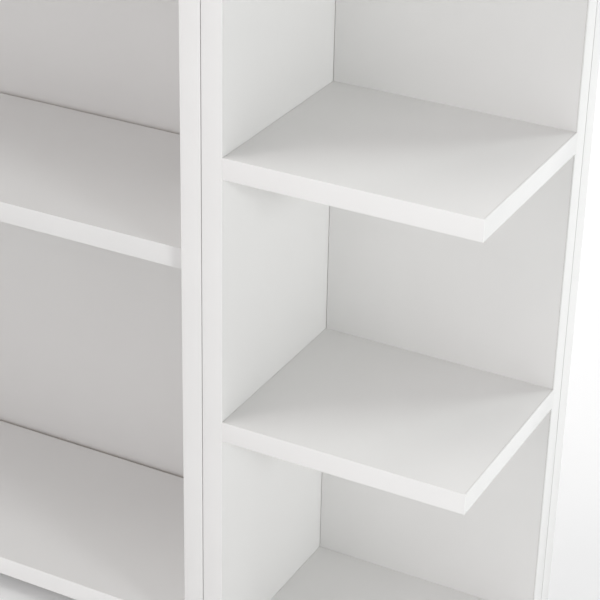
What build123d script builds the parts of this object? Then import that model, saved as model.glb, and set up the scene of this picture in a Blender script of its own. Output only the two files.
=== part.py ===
from build123d import *

import os

os.makedirs("parts", exist_ok=True)

# Low white bookcase of faced chipboard: a wide main unit with one fixed shelf, and an open
# end unit on its right whose shelves stand out from an L of two boards. One rear panel and
# one top board run across both. Millimetres, +X right, +Y to the rear, +Z up; the origin is
# on the floor, under the middle of the whole bookcase.

# ---- driving dimensions ----
board = 15.0                # thickness of every board
board_ease = 0.3            # chamfer along a board's cut edges
edging = 1.0                # thickness of the plastic edging strips
edging_round = 0.4          # rounding along the outer edges of a strip
main_clear_width = 570.0    # between the two side panels of the main unit
end_clear_width = 178.0     # from the end unit's side panel to its open right end
end_clear_depth = 152.0     # from the front to the end unit's back panel
shelf_pitch = 193.0         # end unit, top of one shelf to top of the next
end_bays = 3                # compartments in the end unit
main_floor_rise = 13.0      # main unit's bottom board above the end unit's
main_shelf_height = 313.0   # top of the middle shelf above the top of the end unit's bottom
main_recess = 4.0           # front of the main unit's shelves behind the side panels
rear_shadow_gap = 2.5       # between the main unit's shelves and the rear panel
unit_gap = 0.55             # between the side panels that stand back to back
back_gap = 1.2              # between the end unit's back panel and the rear panel
corner_gap = 0.2            # between the end unit's side panel and its back panel
glide_height = 3.0

# ---- hardware ----
fit_gap = 0.05              # all round a screw, dowel or fitting in its hole
blind_margin = 5.0          # board left beyond a blind hole into its face
cam_floor = 3.0             # board left behind a cam
glide_margin = 1.0          # from a glide to the faces of its board
carcass_length = 50.0       # carcass screws, 7 mm
carcass_radius = 3.5
carcass_core = 2.6
carcass_head = 5.0
long_length = 45.0          # rear panel into the upright edges
short_length = 2 * board - blind_margin     # board to board, face to face
wood_radius = 2.0
wood_core = 1.4
wood_head = 4.0
thread_pitch = 3.5
thread_flat = 0.7           # share of the pitch that lies at the core
socket_radius = 2.0
cap_thickness = 1.0
cap_peg_radius = 1.5
cap_peg_length = 1.0
dowel_radius = 4.0
dowel_length = 25.0
dowel_in_top = board - blind_margin
dowel_flute = 0.35
dowel_flutes = 12
cam_radius = 7.5
cam_depth = board - cam_floor
cam_drop = 24.0             # cam centre below the top board
bolt_radius = 3.0
bolt_neck = 2.0
bolt_in_top = board - blind_margin
cam_cap_radius = 9.0
cam_cap_thickness = 1.0
cam_slot = 1.6
glide_radius = board / 2 - glide_margin
nail_radius = 1.0
nail_depth = 12.0
screw_inset = 32.0          # screws from the front and rear edges of a shelf
fitting_inset = 45.0        # cams from the front and rear edges of an upright
dowel_inset = 20.0
joining_inset = 26.0
rear_first_height = 60.0    # lowest rear panel screw above the uprights' lower ends
rear_screw_rise = 45.0      # other rear panel screws above the middles of the end bays

# ---- places worked out from them ----
width = 3 * board + main_clear_width + unit_gap + end_clear_width
side_depth = end_clear_depth + board + back_gap
depth = side_depth + board
upright_height = end_bays * shelf_pitch
left = -width / 2
right = width / 2
front = -depth / 2
end_back_front = front + end_clear_depth
end_back_rear = end_back_front + board
end_back_middle = end_back_front + board / 2
rear_front = front + side_depth
rear = front + depth
base = glide_height
top_under = base + upright_height
main_inner_left = left + board
main_inner_right = main_inner_left + main_clear_width
main_outer_right = main_inner_right + board
end_outer_left = main_outer_right + unit_gap
end_inner = end_outer_left + board
end_floor = base + board
lower_shelf_top = end_floor + shelf_pitch
upper_shelf_top = lower_shelf_top + shelf_pitch
main_floor = end_floor + main_floor_rise
middle_shelf_top = end_floor + main_shelf_height

panel_core = (front + edging, rear_front)
main_shelf_front = front + main_recess
main_shelf_core = (main_shelf_front + edging, rear_front - rear_shadow_gap)
end_shelf_core = (front + edging, end_back_front)
end_core_right = right - edging
end_back_core = (end_inner + corner_gap, end_core_right)


def middle(span):
    return (span[0] + span[1]) / 2


def length(span):
    return span[1] - span[0]


def facing(z_dir, points):
    """One plane at each point, looking out along z_dir, for a hole and for what goes in it."""
    return [Plane(origin=point, z_dir=z_dir) for point in points]


def inward(planes, distance):
    return [plane.offset(-distance) for plane in planes]


# ---- where the fasteners go ----
main_rows = (main_shelf_core[0] + screw_inset, main_shelf_core[1] - screw_inset)
main_joint_heights = (main_floor - board / 2, middle_shelf_top - board / 2)
end_rows = (front + screw_inset, end_back_front - screw_inset)
end_shelf_middles = [end_floor + bay * shelf_pitch - board / 2 for bay in range(end_bays)]
end_bay_middles = [level + shelf_pitch / 2 for level in end_shelf_middles]
end_columns = (end_inner + carcass_length, right - screw_inset)

left_cap_planes = facing(
    (-1, 0, 0), [(left, y, z) for y in main_rows for z in main_joint_heights]
)
left_joint_planes = inward(left_cap_planes, cap_thickness)
right_joint_planes = facing(
    (1, 0, 0), [(main_outer_right, y, z) for y in main_rows for z in main_joint_heights]
)
end_joint_planes = facing(
    (-1, 0, 0), [(end_outer_left, y, z) for y in end_rows for z in end_shelf_middles]
)
corner_joint_planes = facing(
    (-1, 0, 0), [(end_outer_left, end_back_middle, z) for z in end_bay_middles]
)
end_back_joint_planes = facing(
    (0, 1, 0), [(x, end_back_rear, z) for x in end_columns for z in end_shelf_middles]
)
joining_rows = (front + joining_inset, rear_front - joining_inset)
joining_heights = (end_bay_middles[0], end_bay_middles[-1])
joining_planes = facing(
    (-1, 0, 0), [(main_inner_right, y, z) for y in joining_rows for z in joining_heights]
)
upright_middles = (left + board / 2, main_inner_right + board / 2, end_inner - board / 2)
rear_heights = [level + rear_screw_rise for level in end_bay_middles]
rear_edge_heights = [base + rear_first_height] + rear_heights
rear_edge_planes = facing(
    (0, 1, 0), [(x, rear, z) for x in upright_middles for z in rear_edge_heights]
)
rear_face_planes = facing((0, 1, 0), [(x, rear, z) for x in end_columns for z in rear_heights])
dowel_rows = (front + dowel_inset, rear_front - dowel_inset)
cam_rows = (front + fitting_inset, rear_front - fitting_inset)
cam_height = top_under - cam_drop


def top_planes(xs, ys):
    """Planes on the underside of the top board, looking down out of it."""
    return facing((0, 0, -1), [(x, y, top_under) for x in xs for y in ys])


end_back_dowel_planes = top_planes(end_columns, [end_back_middle])
left_cam_planes = facing((1, 0, 0), [(main_inner_left, y, cam_height) for y in cam_rows])
right_cam_planes = facing((-1, 0, 0), [(main_inner_right, y, cam_height) for y in cam_rows])
end_cam_planes = facing((1, 0, 0), [(end_inner, y, cam_height) for y in cam_rows])
upright_glides = facing((0, 0, -1), [(x, y, base) for x in upright_middles for y in dowel_rows])
end_glides = facing((0, 0, -1), [(right - dowel_inset, y, base) for y in end_rows])
rear_glides = facing((0, 0, -1), [(0, middle((rear_front, rear)), base)])


def save(builder, name):
    builder.part.label = name
    export_step(builder.part, f"parts/{name}.step")


# ---- holes, each made from its fastener's own sizes ----
def screw_holes(planes, radius, head, screw_length):
    """Countersunk clearance holes that a screw of screw_length goes right into."""
    with Locations(*planes):
        CounterSinkHole(
            radius=radius + fit_gap,
            counter_sink_radius=head + fit_gap,
            depth=screw_length + fit_gap,
            counter_sink_angle=90,
        )


def straight_holes(planes, radius, depth_in):
    with Locations(*planes):
        Hole(radius=radius + fit_gap, depth=depth_in + fit_gap)


def upright_top_holes(x):
    """Dowel holes and cam bolt holes down into the upper end of the upright at x."""
    from_end = [Plane(origin=plane.origin, z_dir=(0, 0, 1)) for plane in top_planes([x], dowel_rows)]
    straight_holes(from_end, dowel_radius, dowel_length - dowel_in_top)
    from_end = [Plane(origin=plane.origin, z_dir=(0, 0, 1)) for plane in top_planes([x], cam_rows)]
    straight_holes(from_end, bolt_radius, cam_drop)


# ---- main unit: boards ----
with BuildPart() as left_side_panel:
    with BuildSketch(Plane.XY.offset(base)):
        with Locations((upright_middles[0], middle(panel_core))):
            Rectangle(board, length(panel_core))
    extrude(amount=upright_height)
    chamfer(left_side_panel.edges(), length=board_ease)
    straight_holes(left_cap_planes, carcass_head, cap_thickness)
    screw_holes(left_joint_planes, carcass_radius, carcass_head, carcass_length)
    screw_holes(rear_edge_planes, wood_radius, wood_head, long_length)
    straight_holes(left_cam_planes, cam_radius, cam_depth)
    upright_top_holes(upright_middles[0])
    straight_holes(upright_glides, nail_radius, nail_depth)
save(left_side_panel, "left_side_panel")

with BuildPart() as right_side_panel:
    with BuildSketch(Plane.XY.offset(base)):
        with Locations((upright_middles[1], middle(panel_core))):
            Rectangle(board, length(panel_core))
    extrude(amount=upright_height)
    chamfer(right_side_panel.edges(), length=board_ease)
    screw_holes(right_joint_planes, carcass_radius, carcass_head, carcass_length)
    screw_holes(rear_edge_planes, wood_radius, wood_head, long_length)
    screw_holes(joining_planes, wood_radius, wood_head, short_length)
    straight_holes(right_cam_planes, cam_radius, cam_depth)
    upright_top_holes(upright_middles[1])
    straight_holes(upright_glides, nail_radius, nail_depth)
save(right_side_panel, "right_side_panel")

for name, shelf_top in (("bottom_board", main_floor), ("middle_shelf", middle_shelf_top)):
    with BuildPart() as main_shelf:
        with BuildSketch(Plane.XY.offset(shelf_top - board)):
            with Locations((middle((main_inner_left, main_inner_right)), middle(main_shelf_core))):
                Rectangle(main_clear_width, length(main_shelf_core))
        extrude(amount=board)
        chamfer(main_shelf.edges(), length=board_ease)
        straight_holes(left_joint_planes, carcass_radius, carcass_length)
        straight_holes(right_joint_planes, carcass_radius, carcass_length)
    save(main_shelf, name)

# ---- end unit: boards ----
with BuildPart() as end_side_panel:
    with BuildSketch(Plane.XY.offset(base)):
        with Locations((upright_middles[2], middle(panel_core))):
            Rectangle(board, length(panel_core))
    extrude(amount=upright_height)
    chamfer(end_side_panel.edges(), length=board_ease)
    screw_holes(end_joint_planes + corner_joint_planes, carcass_radius, carcass_head, carcass_length)
    screw_holes(rear_edge_planes, wood_radius, wood_head, long_length)
    straight_holes(joining_planes, wood_radius, short_length)
    straight_holes(end_cam_planes, cam_radius, cam_depth)
    upright_top_holes(upright_middles[2])
    straight_holes(upright_glides, nail_radius, nail_depth)
save(end_side_panel, "end_side_panel")

with BuildPart() as end_back_panel:
    with BuildSketch(Plane.XY.offset(base)):
        with Locations((middle(end_back_core), end_back_middle)):
            Rectangle(length(end_back_core), board)
    extrude(amount=upright_height)
    chamfer(end_back_panel.edges(), length=board_ease)
    screw_holes(end_back_joint_planes, carcass_radius, carcass_head, carcass_length)
    straight_holes(corner_joint_planes, carcass_radius, carcass_length)
    straight_holes(rear_face_planes, wood_radius, short_length)
    top_end = [Plane(origin=plane.origin, z_dir=(0, 0, 1)) for plane in end_back_dowel_planes]
    straight_holes(top_end, dowel_radius, dowel_length - dowel_in_top)
save(end_back_panel, "end_back_panel")

end_shelves = (
    ("end_bottom_board", end_floor),
    ("end_lower_shelf", lower_shelf_top),
    ("end_upper_shelf", upper_shelf_top),
)
for name, shelf_top in end_shelves:
    with BuildPart() as end_shelf:
        with BuildSketch(Plane.XY.offset(shelf_top - board)):
            with Locations((middle((end_inner, end_core_right)), middle(end_shelf_core))):
                Rectangle(end_core_right - end_inner, length(end_shelf_core))
        extrude(amount=board)
        chamfer(end_shelf.edges(), length=board_ease)
        straight_holes(end_joint_planes, carcass_radius, carcass_length)
        straight_holes(end_back_joint_planes, carcass_radius, carcass_length)
        straight_holes(end_glides, nail_radius, nail_depth)
    save(end_shelf, name)

# ---- boards across both units ----
with BuildPart() as rear_panel:
    with BuildSketch(Plane.XY.offset(base)):
        with Locations((0, middle((rear_front, rear)))):
            Rectangle(width - 2 * edging, board)
    extrude(amount=upright_height)
    chamfer(rear_panel.edges(), length=board_ease)
    screw_holes(rear_edge_planes, wood_radius, wood_head, long_length)
    screw_holes(rear_face_planes, wood_radius, wood_head, short_length)
    straight_holes(rear_glides, nail_radius, nail_depth)
save(rear_panel, "rear_panel")

with BuildPart() as top_board:
    with BuildSketch(Plane.XY.offset(top_under)):
        Rectangle(width - 2 * edging, depth - 2 * edging)
    extrude(amount=board)
    chamfer(top_board.edges(), length=board_ease)
    straight_holes(top_planes(upright_middles, dowel_rows), dowel_radius, dowel_in_top)
    straight_holes(end_back_dowel_planes, dowel_radius, dowel_in_top)
    straight_holes(top_planes(upright_middles, cam_rows), bolt_radius, bolt_in_top)
save(top_board, "top_board")


# ---- edging strips ----
def edging_strip(name, x_span, y_span, z_span, outward, run):
    """A flat strip on a board's edge, with its two long outer edges rounded."""
    with BuildPart() as strip:
        with Locations((middle(x_span), middle(y_span), middle(z_span))):
            Box(length(x_span), length(y_span), length(z_span))
        outer_face = strip.faces().sort_by(Axis((0, 0, 0), outward))[-1]
        fillet(outer_face.edges().filter_by(run), radius=edging_round)
    save(strip, name)


FORWARD, BACKWARD, LEFTWARD, RIGHTWARD = (0, -1, 0), (0, 1, 0), (-1, 0, 0), (1, 0, 0)
upright_span = (base, top_under)
front_strip = (front, front + edging)
right_strip = (right - edging, right)
left_strip = (left, left + edging)

for name, x in zip(("left_side", "right_side", "end_side"), upright_middles):
    panel_span = (x - board / 2, x + board / 2)
    edging_strip(f"{name}_front_edging", panel_span, front_strip, upright_span, FORWARD, Axis.Z)

for name, shelf_top in (("bottom_board", main_floor), ("middle_shelf", middle_shelf_top)):
    edging_strip(
        f"{name}_front_edging",
        (main_inner_left, main_inner_right),
        (main_shelf_front, main_shelf_front + edging),
        (shelf_top - board, shelf_top),
        FORWARD,
        Axis.X,
    )

for name, shelf_top in end_shelves:
    shelf_span = (shelf_top - board, shelf_top)
    edging_strip(f"{name}_front_edging", (end_inner, right), front_strip, shelf_span, FORWARD, Axis.X)
    edging_strip(f"{name}_end_edging", right_strip, end_shelf_core, shelf_span, RIGHTWARD, Axis.Y)

end_back_span = (end_back_front, end_back_rear)
rear_panel_span = (rear_front, rear)
edging_strip("end_back_edging", right_strip, end_back_span, upright_span, RIGHTWARD, Axis.Z)
edging_strip("rear_panel_right_edging", right_strip, rear_panel_span, upright_span, RIGHTWARD, Axis.Z)
edging_strip("rear_panel_left_edging", left_strip, rear_panel_span, upright_span, LEFTWARD, Axis.Z)

top_span = (top_under, top_under + board)
side_run = (front + edging, rear - edging)
edging_strip("top_front_edging", (left, right), front_strip, top_span, FORWARD, Axis.X)
edging_strip("top_rear_edging", (left, right), (rear - edging, rear), top_span, BACKWARD, Axis.X)
edging_strip("top_left_edging", left_strip, side_run, top_span, LEFTWARD, Axis.Y)
edging_strip("top_right_edging", right_strip, side_run, top_span, RIGHTWARD, Axis.Y)


# ---- fasteners: each is drawn head up at its own origin, then set on its planes ----
def screw_blank(radius, core, head, screw_length, neck):
    """A countersunk screw, its head's flat top at the origin and its point down."""
    tip = 2 * radius
    ridges = int((screw_length - neck - tip) / thread_pitch)
    with BuildPart() as blank:
        with BuildSketch(Plane.XZ):
            with BuildLine():
                outline = [(0, 0), (head, 0), (radius, radius - head), (radius, -neck)]
                for ridge in range(ridges):
                    root = -neck - ridge * thread_pitch
                    outline += [(core, root), (core, root - thread_flat * thread_pitch)]
                    outline += [(radius, root - thread_pitch)]
                outline += [(core, -neck - ridges * thread_pitch), (0, -screw_length)]
                Polyline(*outline, close=True)
            make_face()
        revolve(axis=Axis.Z)
        with BuildSketch(Plane.XY):
            RegularPolygon(radius=socket_radius, side_count=6)
        extrude(amount=-socket_radius, mode=Mode.SUBTRACT)
    return blank.part


def set_out(name, blank, planes):
    """Copies of one fastener on all its planes, kept as one node of separate solids."""
    copies = [plane.location * blank for plane in planes]
    for number, solid in enumerate(copies):
        solid.label = f"{name}_{number + 1}"
    group = Compound(label=name, children=copies)
    export_step(group, f"parts/{name}.step")


carcass_screw = screw_blank(carcass_radius, carcass_core, carcass_head, carcass_length, board)
long_screw = screw_blank(wood_radius, wood_core, wood_head, long_length, board)
short_screw = screw_blank(wood_radius, wood_core, wood_head, short_length, board / 2)

set_out("left_carcass_screws", carcass_screw, left_joint_planes)
set_out("right_carcass_screws", carcass_screw, right_joint_planes)
set_out("end_side_carcass_screws", carcass_screw, end_joint_planes + corner_joint_planes)
set_out("end_back_carcass_screws", carcass_screw, end_back_joint_planes)
set_out("rear_panel_long_screws", long_screw, rear_edge_planes)
set_out("rear_panel_short_screws", short_screw, rear_face_planes)
set_out("unit_joining_screws", short_screw, joining_planes)

with BuildPart() as cover_cap:
    with BuildSketch(Plane.XY):
        Circle(carcass_head)
    extrude(amount=-cap_thickness)
    chamfer(cover_cap.edges().group_by(Axis.Z)[-1], length=cap_thickness / 4)
    with BuildSketch(Plane.XY.offset(-cap_thickness)):
        Circle(cap_peg_radius)
    extrude(amount=-cap_peg_length)
set_out("left_screw_caps", cover_cap.part, left_cap_planes)

with BuildPart() as dowel:
    with BuildSketch(Plane.XY.offset(-dowel_in_top)):
        Circle(dowel_radius)
        with PolarLocations(dowel_radius, dowel_flutes):
            Circle(dowel_flute, mode=Mode.SUBTRACT)
    extrude(amount=dowel_length)
set_out(
    "top_dowels",
    dowel.part,
    top_planes(upright_middles, dowel_rows) + end_back_dowel_planes,
)

with BuildPart() as cam_bolt:
    with BuildSketch(Plane.XZ):
        with BuildLine():
            Polyline(
                (0, -bolt_in_top),
                (bolt_radius, -bolt_in_top),
                (bolt_radius, bolt_radius),
                (bolt_neck, 2 * bolt_radius - bolt_neck),
                (bolt_neck, cam_drop - bolt_radius),
                (bolt_radius, cam_drop - bolt_neck),
                (bolt_radius, cam_drop),
                (0, cam_drop),
                close=True,
            )
        make_face()
    revolve(axis=Axis.Z)
set_out("cam_bolts", cam_bolt.part, top_planes(upright_middles, cam_rows))

cam_planes = left_cam_planes + right_cam_planes + end_cam_planes
with BuildPart() as cam_locks:
    for plane in cam_planes:
        with BuildSketch(plane):
            Circle(cam_radius)
        extrude(amount=-cam_depth)
        with BuildSketch(plane):
            Rectangle(cam_radius, cam_slot)
            Rectangle(cam_slot, cam_radius)
        extrude(amount=-cam_slot, mode=Mode.SUBTRACT)
    for x in upright_middles:
        upright_top_holes(x)
save(cam_locks, "cam_locks")

with BuildPart() as cam_cap:
    with BuildSketch(Plane.XY):
        Circle(cam_cap_radius)
    extrude(amount=cam_cap_thickness)
    fillet(cam_cap.edges().group_by(Axis.Z)[-1], radius=cam_cap_thickness / 2)
set_out("cam_caps", cam_cap.part, cam_planes)

with BuildPart() as glide:
    with BuildSketch(Plane.XY):
        Circle(glide_radius)
    extrude(amount=glide_height)
    chamfer(glide.edges().group_by(Axis.Z)[-1], length=glide_height / 4)
    with Locations((0, 0, 0)):
        Cylinder(
            nail_radius + fit_gap,
            glide_height / 2,
            align=(Align.CENTER, Align.CENTER, Align.MIN),
            mode=Mode.SUBTRACT,
        )
glide_planes = upright_glides + end_glides + rear_glides
set_out("glides", glide.part, glide_planes)

with BuildPart() as glide_nail:
    with BuildSketch(Plane.XY.offset(glide_height / 2)):
        Circle(nail_radius)
    extrude(amount=-(glide_height / 2 + nail_depth))
    chamfer(glide_nail.edges().group_by(Axis.Z)[0], length=nail_radius / 2)
set_out("glide_nails", glide_nail.part, glide_planes)
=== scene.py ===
from math import radians

import bmesh
import bpy
from mathutils import Matrix, Vector


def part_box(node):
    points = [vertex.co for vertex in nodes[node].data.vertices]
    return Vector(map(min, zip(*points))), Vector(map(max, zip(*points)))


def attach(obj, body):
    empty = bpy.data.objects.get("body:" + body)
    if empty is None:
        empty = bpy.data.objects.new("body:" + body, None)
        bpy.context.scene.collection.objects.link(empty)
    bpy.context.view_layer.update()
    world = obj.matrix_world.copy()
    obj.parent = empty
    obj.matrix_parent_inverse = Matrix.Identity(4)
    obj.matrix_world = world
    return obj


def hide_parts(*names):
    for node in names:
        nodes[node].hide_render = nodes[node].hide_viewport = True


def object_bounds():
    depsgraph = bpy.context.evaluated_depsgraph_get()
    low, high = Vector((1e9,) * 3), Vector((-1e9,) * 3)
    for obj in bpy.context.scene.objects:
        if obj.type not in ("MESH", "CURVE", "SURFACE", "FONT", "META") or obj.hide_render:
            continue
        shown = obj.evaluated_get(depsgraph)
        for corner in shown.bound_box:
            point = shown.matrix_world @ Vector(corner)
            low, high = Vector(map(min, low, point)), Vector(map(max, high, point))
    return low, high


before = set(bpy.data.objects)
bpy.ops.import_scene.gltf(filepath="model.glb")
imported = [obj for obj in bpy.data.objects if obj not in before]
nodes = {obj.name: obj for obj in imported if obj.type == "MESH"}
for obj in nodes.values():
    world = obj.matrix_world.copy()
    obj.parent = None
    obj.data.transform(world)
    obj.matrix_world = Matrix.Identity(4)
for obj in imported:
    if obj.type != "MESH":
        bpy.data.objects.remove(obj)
cad_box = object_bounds()

# ---------------------------------------------------------------------------------------------
# Side panels. Three uprights of 15 mm chipboard, faced on both sides with satin white melamine
# paper. The middle two stand back to back, one for each unit, and are screwed together.
# ---------------------------------------------------------------------------------------------
FACING_WHITE = (0.805, 0.799, 0.789)
FACING_SHADE = (0.79, 0.783, 0.773)
FACING_ROUGHNESS = 0.42
FACING_SPECULAR = 0.35
CLOUD_SIZE = 1 / 9.0        # one cloud of the facing's slow change of tone, metres
PEARL_SIZE = 0.0009         # one dimple of the facing's pearl texture
CHIP_PALE = (0.56, 0.42, 0.26)
CHIP_DARK = (0.25, 0.155, 0.08)
CHIP_SIZE = 0.0022          # one flake of the core
BOARD_RELIEF = 0.00003      # depth of the pearl texture and of the flakes
FACED_FROM = 0.6            # a face whose normal has more than this across the board is faced


def link(material, source, output, target, socket):
    material.node_tree.links.new(source.outputs[output], target.inputs[socket])


def noise(material, scale, detail=2.0, stretch=(1.0, 1.0, 1.0)):
    """Noise on the piece's own coordinates, in cells per metre, drawn out along stretch."""
    tree = material.node_tree.nodes
    place = tree.new("ShaderNodeTexCoord")
    mapping = tree.new("ShaderNodeMapping")
    mapping.inputs["Scale"].default_value = stretch
    texture = tree.new("ShaderNodeTexNoise")
    texture.inputs["Scale"].default_value = scale
    texture.inputs["Detail"].default_value = detail
    link(material, place, "Object", mapping, "Vector")
    link(material, mapping, "Vector", texture, "Vector")
    return texture


def ramp(material, source, output, low, high):
    """Two colours mixed by source, each given as (value of the source, colour)."""
    node = material.node_tree.nodes.new("ShaderNodeValToRGB")
    for element, (position, colour) in zip(node.color_ramp.elements, (low, high)):
        element.position = position
        element.color = (*colour, 1.0)
    link(material, source, output, node, "Fac")
    return node


def bump(material, source, output, depth, shader):
    node = material.node_tree.nodes.new("ShaderNodeBump")
    node.inputs["Strength"].default_value = 1.0
    node.inputs["Distance"].default_value = depth
    link(material, source, output, node, "Height")
    link(material, node, "Normal", shader, "Normal")


def new_material(name, roughness, metallic=0.0, specular=0.5):
    material = bpy.data.materials.new(name)
    material.use_nodes = True
    shader = material.node_tree.nodes["Principled BSDF"]
    shader.inputs["Roughness"].default_value = roughness
    shader.inputs["Metallic"].default_value = metallic
    shader.inputs["Specular IOR Level"].default_value = specular
    return material, shader


def faced_board(name, thickness_axis):
    """White facing on the two broad sides, bare chipboard where the board was cut."""
    material, shader = new_material(name, FACING_ROUGHNESS, specular=FACING_SPECULAR)
    tree = material.node_tree.nodes

    cloud = noise(material, 1 / CLOUD_SIZE)
    white = ramp(material, cloud, "Fac", (0.35, FACING_SHADE), (0.65, FACING_WHITE))
    flakes = tree.new("ShaderNodeTexVoronoi")
    flakes.inputs["Scale"].default_value = 1 / CHIP_SIZE
    place = tree.new("ShaderNodeTexCoord")
    link(material, place, "Object", flakes, "Vector")
    chips = ramp(material, flakes, "Color", (0.2, CHIP_DARK), (0.75, CHIP_PALE))

    geometry = tree.new("ShaderNodeNewGeometry")
    split = tree.new("ShaderNodeSeparateXYZ")
    link(material, geometry, "True Normal", split, "Vector")
    size = tree.new("ShaderNodeMath")
    size.operation = "ABSOLUTE"
    link(material, split, thickness_axis, size, "Value")
    faced = tree.new("ShaderNodeMath")
    faced.operation = "GREATER_THAN"
    faced.inputs[1].default_value = FACED_FROM
    link(material, size, "Value", faced, "Value")

    colour = tree.new("ShaderNodeMix")
    colour.data_type = "RGBA"
    link(material, faced, "Value", colour, "Factor")
    link(material, chips, "Color", colour, "A")
    link(material, white, "Color", colour, "B")
    link(material, colour, "Result", shader, "Base Color")

    pearl = noise(material, 1 / PEARL_SIZE, detail=1.0)
    relief = tree.new("ShaderNodeMix")
    link(material, faced, "Value", relief, "Factor")
    link(material, flakes, "Distance", relief, "A")
    link(material, pearl, "Fac", relief, "B")
    bump(material, relief, "Result", BOARD_RELIEF, shader)
    return material


def finish_node(name, material):
    for slot in nodes[name].material_slots:
        slot.material = material


facing_upright = faced_board("faced_board_upright", "X")
for name in ("left_side_panel", "right_side_panel", "end_side_panel"):
    finish_node(name, facing_upright)

# ---------------------------------------------------------------------------------------------
# Shelves. Bottom board and middle shelf of the main unit, and the three square boards of the
# end unit, cut from the same faced chipboard and screwed through the side panels.
# ---------------------------------------------------------------------------------------------
facing_shelf = faced_board("faced_board_shelf", "Z")
END_SHELVES = ("end_bottom_board", "end_lower_shelf", "end_upper_shelf")
for name in ("bottom_board", "middle_shelf") + END_SHELVES:
    finish_node(name, facing_shelf)

# ---------------------------------------------------------------------------------------------
# Back panels. The end unit's own back makes an L with its side panel; the rear panel runs
# behind both units. Both are full 15 mm boards, screwed on from behind.
# ---------------------------------------------------------------------------------------------
facing_back = faced_board("faced_board_back", "Y")
for name in ("end_back_panel", "rear_panel"):
    finish_node(name, facing_back)

# ---------------------------------------------------------------------------------------------
# Top board. One board over all the uprights, edged on all four sides, held from below by
# dowels and cam fittings so that nothing shows on top.
# ---------------------------------------------------------------------------------------------
finish_node("top_board", facing_shelf)

# ---------------------------------------------------------------------------------------------
# Edging strips. 1 mm white plastic ironed on to every cut edge that shows, trimmed flush, with
# its long outer edges scraped to a small round. A hairline of glue shows along each side.
# ---------------------------------------------------------------------------------------------
EDGING_WHITE = (0.835, 0.828, 0.82)
EDGING_SHADE = (0.822, 0.815, 0.807)
EDGING_ROUGHNESS = 0.36
EDGING_SPECULAR = 0.4
EDGING_CLOUDS = 25.0        # clouds of tone per metre
STRIP_PAINTED_LIGHT = {             # painted light and shade: the white of these strips as a share of EDGING_WHITE, darker on the left and lighter on the right, as the light falls
    "middle_shelf_front_edging": 0.925, "bottom_board_front_edging": 1.02,
    "end_upper_shelf_front_edging": 1.055, "end_lower_shelf_front_edging": 1.035,
}
RIGHT_PAINTED_SHADE = 0.965          # painted shade: the same share for every other strip that faces right, darkening what the light from the right brightens
SCRAPER_MARKS = 1500.0      # marks per metre across the strip
MARK_STRETCH = 0.03         # and this share of that along it
MARK_DEPTH = 0.00001
SCRAPED_ROUND = 0.00028
TRIMMED_END = 0.0002        # round on the ends of the front strips
CUT_END = 0.00005           # on the ends of all the others
GLUE_PALE = (0.58, 0.55, 0.52)
GLUE_DARK = (0.42, 0.39, 0.36)
GLUE_WIDTH = 0.00018
GLUE_SUNK = 0.00004         # glue below the board's face
SMOOTH_BELOW = 35           # faces that meet at less than this, in degrees, are shaded as one
AXES = ("X", "Y", "Z")


def edging_plastic(run, painted_light_share):
    """Satin plastic with faint scraper marks along its run, its white multiplied by a share that
    paints light or shade on the strip.
    """
    name = "white_edging_" + AXES[run].lower() + "_" + str(round(painted_light_share * 1000))
    material, shader = new_material(name, EDGING_ROUGHNESS, specular=EDGING_SPECULAR)
    shade, white = (tuple(painted_light_share * part for part in colour) for colour in (EDGING_SHADE, EDGING_WHITE))
    tint = ramp(material, noise(material, EDGING_CLOUDS), "Fac", (0.3, shade), (0.7, white))
    link(material, tint, "Color", shader, "Base Color")
    stretch = [1.0, 1.0, 1.0]
    stretch[run] = MARK_STRETCH
    bump(material, noise(material, SCRAPER_MARKS, stretch=stretch), "Fac", MARK_DEPTH, shader)
    return material


def add_block(bm, low, high):
    """A block between two corners, added to a bmesh."""
    place = Matrix.Translation((low + high) / 2) @ Matrix.Diagonal((*(high - low), 1.0))
    bmesh.ops.create_cube(bm, size=1.0, matrix=place)


def soft_bevel(bm, edges, offset, segments):
    bmesh.ops.bevel(
        bm, geom=edges, offset=offset, segments=segments,
        profile=0.5, affect="EDGES", material=-1, clamp_overlap=True,
    )


def finished_piece(name, bm, material, replaced=None):
    """Turn a bmesh into a piece of the object, smooth where its faces meet gently."""
    mesh = bpy.data.meshes.new(name)
    bm.to_mesh(mesh)
    bm.free()
    mesh.materials.append(material)
    for polygon in mesh.polygons:
        polygon.use_smooth = True
    mesh.set_sharp_from_angle(angle=radians(SMOOTH_BELOW))
    piece = bpy.data.objects.new(name, mesh)
    bpy.context.collection.objects.link(piece)
    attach(piece, "root")
    if replaced:
        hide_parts(replaced)


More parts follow.
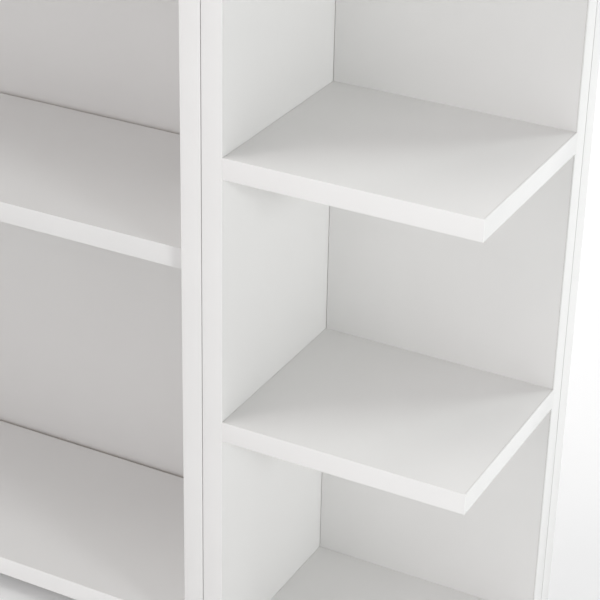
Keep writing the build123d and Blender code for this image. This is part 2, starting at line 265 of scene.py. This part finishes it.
edging_materials = {}
glue_lines = bmesh.new()
whole_middle = (Vector(cad_box[0]) + Vector(cad_box[1])) / 2
for name in sorted(node for node in nodes if node.endswith("edging")):
    low, high = (Vector(corner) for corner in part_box(name))
    size = list(high - low)
    run, out = size.index(max(size)), size.index(min(size))
    across = 3 - run - out
    outward = 1 if (low + high)[out] / 2 > whole_middle[out] else -1

    strip = bmesh.new()
    add_block(strip, low, high)
    outer = max(strip.faces, key=lambda face: face.calc_center_median()[out] * outward)
    long_edges = [e for e in outer.edges if abs((e.verts[1].co - e.verts[0].co)[run]) > size[run] / 2]
    soft_bevel(strip, long_edges, SCRAPED_ROUND, 4)
    ends = [face for face in strip.faces if abs(face.normal[run]) > 0.9]
    end_round = TRIMMED_END if name.endswith("front_edging") else CUT_END
    soft_bevel(strip, list({edge for face in ends for edge in face.edges}), end_round, 2)
    # Strips that face right get painted shade; the front strips listed above get painted light or
    # shade.
    faces_right = AXES[out] == "X" and outward == 1
    run_and_painted_light = (run, STRIP_PAINTED_LIGHT.get(name, RIGHT_PAINTED_SHADE if faces_right else 1.0))
    if run_and_painted_light not in edging_materials:
        edging_materials[run_and_painted_light] = edging_plastic(*run_and_painted_light)
    finished_piece(name + "_strip", strip, edging_materials[run_and_painted_light], name)

    glued = low[out] if outward > 0 else high[out]
    for side, inward in ((low[across], 1), (high[across], -1)):
        bead_low, bead_high = low.copy(), high.copy()
        bead_low[out], bead_high[out] = sorted((glued, glued - outward * GLUE_WIDTH))
        sunk = side + inward * GLUE_SUNK
        bead_low[across], bead_high[across] = sorted((sunk, sunk + inward * GLUE_WIDTH))
        add_block(glue_lines, bead_low, bead_high)

glue, glue_shader = new_material("edging_glue", 0.6)
glue_tint = ramp(glue, noise(glue, 300.0), "Fac", (0.3, GLUE_DARK), (0.8, GLUE_PALE))
link(glue, glue_tint, "Color", glue_shader, "Base Color")
finished_piece("edging_glue_lines", glue_lines, glue)

# ---------------------------------------------------------------------------------------------
# Screws. Zinc-plated carcass screws through the side panels, with a hexagon socket, and slim
# countersunk screws in the rear panel and between the doubled side panels.
# ---------------------------------------------------------------------------------------------
ZINC_PALE = (0.62, 0.64, 0.66)
ZINC_DARK = (0.5, 0.52, 0.55)


def mottled(name, pale, dark, mottles, grit, relief, roughness, metallic=0.0, detail=2.0):
    """Two tones in so many mottles per metre, over a fine grit of so many grains per metre."""
    material, shader = new_material(name, roughness, metallic)
    tint = ramp(material, noise(material, mottles), "Fac", (0.3, dark), (0.7, pale))
    link(material, tint, "Color", shader, "Base Color")
    bump(material, noise(material, grit, detail), "Fac", relief, shader)
    return material


zinc = mottled("zinc_plating", ZINC_PALE, ZINC_DARK, 700.0, 2500.0, 0.00002, 0.3, metallic=1.0)
for name in (node for node in nodes if node.endswith("screws")):
    finish_node(name, zinc)

# ---------------------------------------------------------------------------------------------
# Top fittings. Fluted beech dowels line the top board up; die-cast cams in the uprights pull
# down on steel bolts that are screwed into it.
# ---------------------------------------------------------------------------------------------
BEECH_PALE = (0.58, 0.40, 0.24)
BEECH_DARK = (0.43, 0.27, 0.14)
BEECH_GRAIN = 500.0         # pores per metre across the grain
GRAIN_STRETCH = 0.08        # and this share of that along it
beech, beech_shader = new_material("beech", 0.7)
grain = noise(beech, BEECH_GRAIN, detail=4.0, stretch=(1.0, 1.0, GRAIN_STRETCH))
beech_tint = ramp(beech, grain, "Fac", (0.35, BEECH_DARK), (0.65, BEECH_PALE))
link(beech, beech_tint, "Color", beech_shader, "Base Color")
bump(beech, grain, "Fac", 0.0001, beech_shader)
finish_node("top_dowels", beech)

finish_node("cam_bolts", zinc)

CAST_PALE = (0.45, 0.46, 0.47)
CAST_DARK = (0.33, 0.34, 0.35)
cast = mottled(
    "die_cast_zinc", CAST_PALE, CAST_DARK, 400.0, 1600.0, 0.00005, 0.48, metallic=1.0, detail=4.0
)
finish_node("cam_locks", cast)

# ---------------------------------------------------------------------------------------------
# Caps. Injection-moulded white plastic: small ones pressed into the heads of the carcass screws
# on the left, flush with the panel, and wide ones over the cams, each with a sunk ring.
# ---------------------------------------------------------------------------------------------
CAP_WHITE = (0.84, 0.84, 0.83)
CAP_SHADE = (0.80, 0.80, 0.79)
SPARKS = 900.0              # dimples of a mould's spark texture per metre
SPARK_DEPTH = 0.00002
TURNED_STEPS = 48           # flats round a turned piece
SAME_PLACE = 1e-6           # points closer than this are one
SCREW_CAP = (               # half outline, as (radius, height above the seat)
    (0.0, -0.00025), (0.0026, -0.0002), (0.0038, -0.00004), (0.0042, 0.0), (0.0046, -0.0001),
    (0.0049, -0.0004), (0.00495, -0.001), (0.0015, -0.001), (0.0012, -0.0019), (0.0, -0.0019),
)
CAM_CAP = (
    (0.0, 0.001), (0.0052, 0.00094), (0.0058, 0.0009), (0.006, 0.0007), (0.0063, 0.0007),
    (0.0065, 0.0009), (0.0078, 0.00074), (0.0086, 0.00045), (0.009, 0.0), (0.0, 0.0),
)


def separate_boxes(name):
    """Lowest and highest corner of each separate solid in a node."""
    merged = bmesh.new()
    merged.from_mesh(nodes[name].data)
    bmesh.ops.remove_doubles(merged, verts=merged.verts[:], dist=SAME_PLACE)
    waiting = set(merged.verts)
    boxes = []
    while waiting:
        reached = [waiting.pop()]
        for vert in reached:
            joined = {edge.other_vert(vert) for edge in vert.link_edges} & waiting
            waiting -= joined
            reached.extend(joined)
        places = [vert.co.copy() for vert in reached]
        boxes.append((Vector(map(min, zip(*places))), Vector(map(max, zip(*places)))))
    merged.free()
    return sorted(boxes, key=lambda box: tuple(box[0]))


def add_turned(bm, outline, seat, outward):
    """Spin an outline of (radius, height) and set it on seat, with its height along outward."""
    turned = bmesh.new()
    verts = [turned.verts.new((radius, 0.0, height)) for radius, height in outline]
    edges = [turned.edges.new(pair) for pair in zip(verts, verts[1:])]
    bmesh.ops.spin(
        turned, geom=verts + edges, cent=(0, 0, 0), axis=(0, 0, 1),
        angle=radians(360), steps=TURNED_STEPS, use_merge=True,
    )
    bmesh.ops.remove_doubles(turned, verts=turned.verts[:], dist=SAME_PLACE)
    bmesh.ops.recalc_face_normals(turned, faces=turned.faces[:])
    turn = Vector(outward).to_track_quat("Z", "Y").to_matrix().to_4x4()
    bmesh.ops.transform(turned, matrix=Matrix.Translation(seat) @ turn, verts=turned.verts[:])
    done = bpy.data.meshes.new("turned")
    turned.to_mesh(done)
    turned.free()
    bm.from_mesh(done)
    bpy.data.meshes.remove(done)


cap_plastic = mottled("moulded_white_cap", CAP_WHITE, CAP_SHADE, 200.0, SPARKS, SPARK_DEPTH, 0.3)
left_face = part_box("left_side_panel")[0][0]
screw_caps = bmesh.new()
for low, high in separate_boxes("left_screw_caps"):
    seat = (low + high) / 2
    seat.x = left_face
    add_turned(screw_caps, SCREW_CAP, seat, (-1, 0, 0))
finished_piece("left_screw_caps_moulded", screw_caps, cap_plastic, "left_screw_caps")

right_panel_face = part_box("right_side_panel")[0][0]     # the main unit's right wall
cam_caps = bmesh.new()
for low, high in separate_boxes("cam_caps"):
    seat = (low + high) / 2
    faces_left = low.x < right_panel_face < high.x + SAME_PLACE
    seat.x = high.x if faces_left else low.x
    add_turned(cam_caps, CAM_CAP, seat, (-1, 0, 0) if faces_left else (1, 0, 0))
finished_piece("cam_caps_moulded", cam_caps, cap_plastic, "cam_caps")

# ---------------------------------------------------------------------------------------------
# Glides. Off-white plastic discs with a dished foot, each moulded round a steel nail that is
# hammered up into the bottom edge of a board.
# ---------------------------------------------------------------------------------------------
GLIDE_PALE = (0.72, 0.715, 0.69)
GLIDE_SHADE = (0.66, 0.655, 0.63)
GLIDE = (
    (0.0, 0.00155), (0.00105, 0.00155), (0.00105, 0.0), (0.0065, 0.0), (0.0065, 0.0013),
    (0.0062, 0.0021), (0.0055, 0.0027), (0.0044, 0.003), (0.0022, 0.003), (0.0016, 0.0027),
    (0.0, 0.0026),
)
glide_plastic = mottled("glide_plastic", GLIDE_PALE, GLIDE_SHADE, 200.0, SPARKS, SPARK_DEPTH, 0.5)
glides = bmesh.new()
for low, high in separate_boxes("glides"):
    seat = (low + high) / 2
    seat.z = high.z
    add_turned(glides, GLIDE, seat, (0, 0, -1))
finished_piece("glides_moulded", glides, glide_plastic, "glides")
finish_node("glide_nails", zinc)

# ---------------------------------------------------------------------------------------------
# Studio. A pale matt floor, an even surround and six soft boxes: those in front are a little
# warm, those on the right a little cool. Plain display values, no film curve.
# ---------------------------------------------------------------------------------------------
FLOOR_HALF = 12.0           # from the middle of the floor to its edge, metres
FLOOR_PALE = (0.93, 0.93, 0.93)
FLOOR_SHADE = (0.91, 0.91, 0.91)
SURROUND = 0.4              # strength of the even light from all round
END_UNIT_MIDDLE = Vector((0.3, 0.0, 0.3))
ROUND_DISTANCE = 6.0        # from there to every soft box but the last, metres

scene = bpy.context.scene
scene.view_settings.view_transform = "Standard"

floor_bm = bmesh.new()
bmesh.ops.create_grid(floor_bm, x_segments=1, y_segments=1, size=FLOOR_HALF)
floor_mesh = bpy.data.meshes.new("floor")
floor_bm.to_mesh(floor_mesh)
floor_bm.free()
floor_material, floor_shader = new_material("pale_floor", 0.8, specular=0.1)
floor_noise = noise(floor_material, 3.0)
floor_tint = ramp(floor_material, floor_noise, "Fac", (0.3, FLOOR_SHADE), (0.7, FLOOR_PALE))
link(floor_material, floor_tint, "Color", floor_shader, "Base Color")
floor_mesh.materials.append(floor_material)
floor = bpy.data.objects.new("floor", floor_mesh)
bpy.context.collection.objects.link(floor)

world = bpy.data.worlds.new("studio")
world.use_nodes = True
surround = world.node_tree.nodes["Background"]
surround.inputs["Color"].default_value = (1.0, 1.0, 1.0, 1.0)
surround.inputs["Strength"].default_value = SURROUND
scene.world = world


def soft_box(name, heading, rise, power, colour, side=2.4):
    """A square soft box at a heading from the front, right positive, and a rise in degrees."""
    turn = Matrix.Rotation(radians(heading), 4, "Z") @ Matrix.Rotation(radians(-rise), 4, "X")
    away = turn @ Vector((0.0, -ROUND_DISTANCE, 0.0))
    light = bpy.data.lights.new(name, "AREA")
    light.shape = "SQUARE"
    light.size = side
    light.energy = power
    light.color = colour
    lamp = bpy.data.objects.new(name, light)
    lamp.location = END_UNIT_MIDDLE + away
    lamp.rotation_euler = (-away).to_track_quat("-Z", "Y").to_euler()
    bpy.context.collection.objects.link(lamp)
    return lamp


soft_box("front_box", -10, 12, 41.0, (1.0, 0.98, 0.975))
soft_box("front_left_box", -35, 35, 47.6, (1.0, 0.93, 0.955))
soft_box("high_left_box", -60, 60, 71.0, (1.0, 1.0, 0.985))
soft_box("right_box", 69, 12, 122.0, (0.975, 1.0, 1.0), side=1.2)
soft_box("back_right_box", 136, 35, 86.0, (0.95, 1.0, 0.985), side=1.6)
# The last one hangs close behind the bookcase and lights the floor under its open end.
floor_box = soft_box("floor_box", 180, 0, 11.1, (1.0, 0.96, 0.98), side=1.2)
floor_box.location = (0.3, 1.3, 1.5)
floor_box.rotation_euler = Vector((-0.1, -0.5, -1.5)).to_track_quat("-Z", "Y").to_euler()

# The camera stands in front of the open end unit and looks down across it to the left.
CAMERA_OFF = Vector((0.56147, -0.97425, 0.49378))       # from the upper shelf's left front corner
CAMERA_TURN = (62.1768, -1.0912, 27.9536)               # degrees about X, Y and Z
CAMERA_LENS = 117.69                                    # millimetres
shelf_low, shelf_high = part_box("end_upper_shelf")
strip_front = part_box("end_upper_shelf_front_edging")[0][1]
camera_data = bpy.data.cameras.new("camera")
camera_data.lens = CAMERA_LENS
camera = bpy.data.objects.new("camera", camera_data)
camera.location = Vector((shelf_low[0], strip_front, shelf_high[2])) + CAMERA_OFF
camera.rotation_euler = [radians(turn) for turn in CAMERA_TURN]
bpy.context.collection.objects.link(camera)
scene.camera = camera
